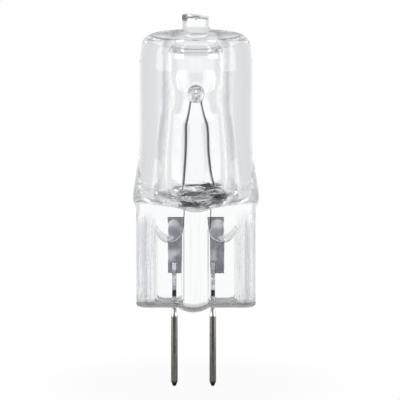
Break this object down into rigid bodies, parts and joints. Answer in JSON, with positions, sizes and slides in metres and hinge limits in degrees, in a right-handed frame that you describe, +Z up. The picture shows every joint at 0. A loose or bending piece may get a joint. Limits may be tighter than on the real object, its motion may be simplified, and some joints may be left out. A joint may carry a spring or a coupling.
{
  "type": "halogen capsule bulb",
  "caption": "Clear bi-pin halogen capsule bulb: quartz tube with flat pressed seal, sealed-off tip, looped coil filament, foils and straight contact pins.",
  "frame": {"origin": "midway between the two contact pins, in the plane where they reach their full diameter below the glass", "axes": "+Z up along the bulb towards the exhaust tip, +X along the row of pins, +Y through the thickness of the seal, away from the viewer of the picture"},
  "size_m": [0.0129, 0.0116, 0.039],
  "materials": {
    "clear_quartz": "clear, polished by fire",
    "tungsten": "drawn wire, dark grey",
    "molybdenum_foil": "thin rolled foil, satin",
    "lead_wire": "drawn wire, satin",
    "pin_metal": "dull grey nickel"
  },
  "bodies": {
    "root": {"glass_envelope": "clear_quartz", "filament": "tungsten", "left_foil": "molybdenum_foil", "right_foil": "molybdenum_foil", "left_outer_lead": "lead_wire", "right_outer_lead": "lead_wire", "left_pin": "pin_metal", "right_pin": "pin_metal"}
  },
  "joints": []
}
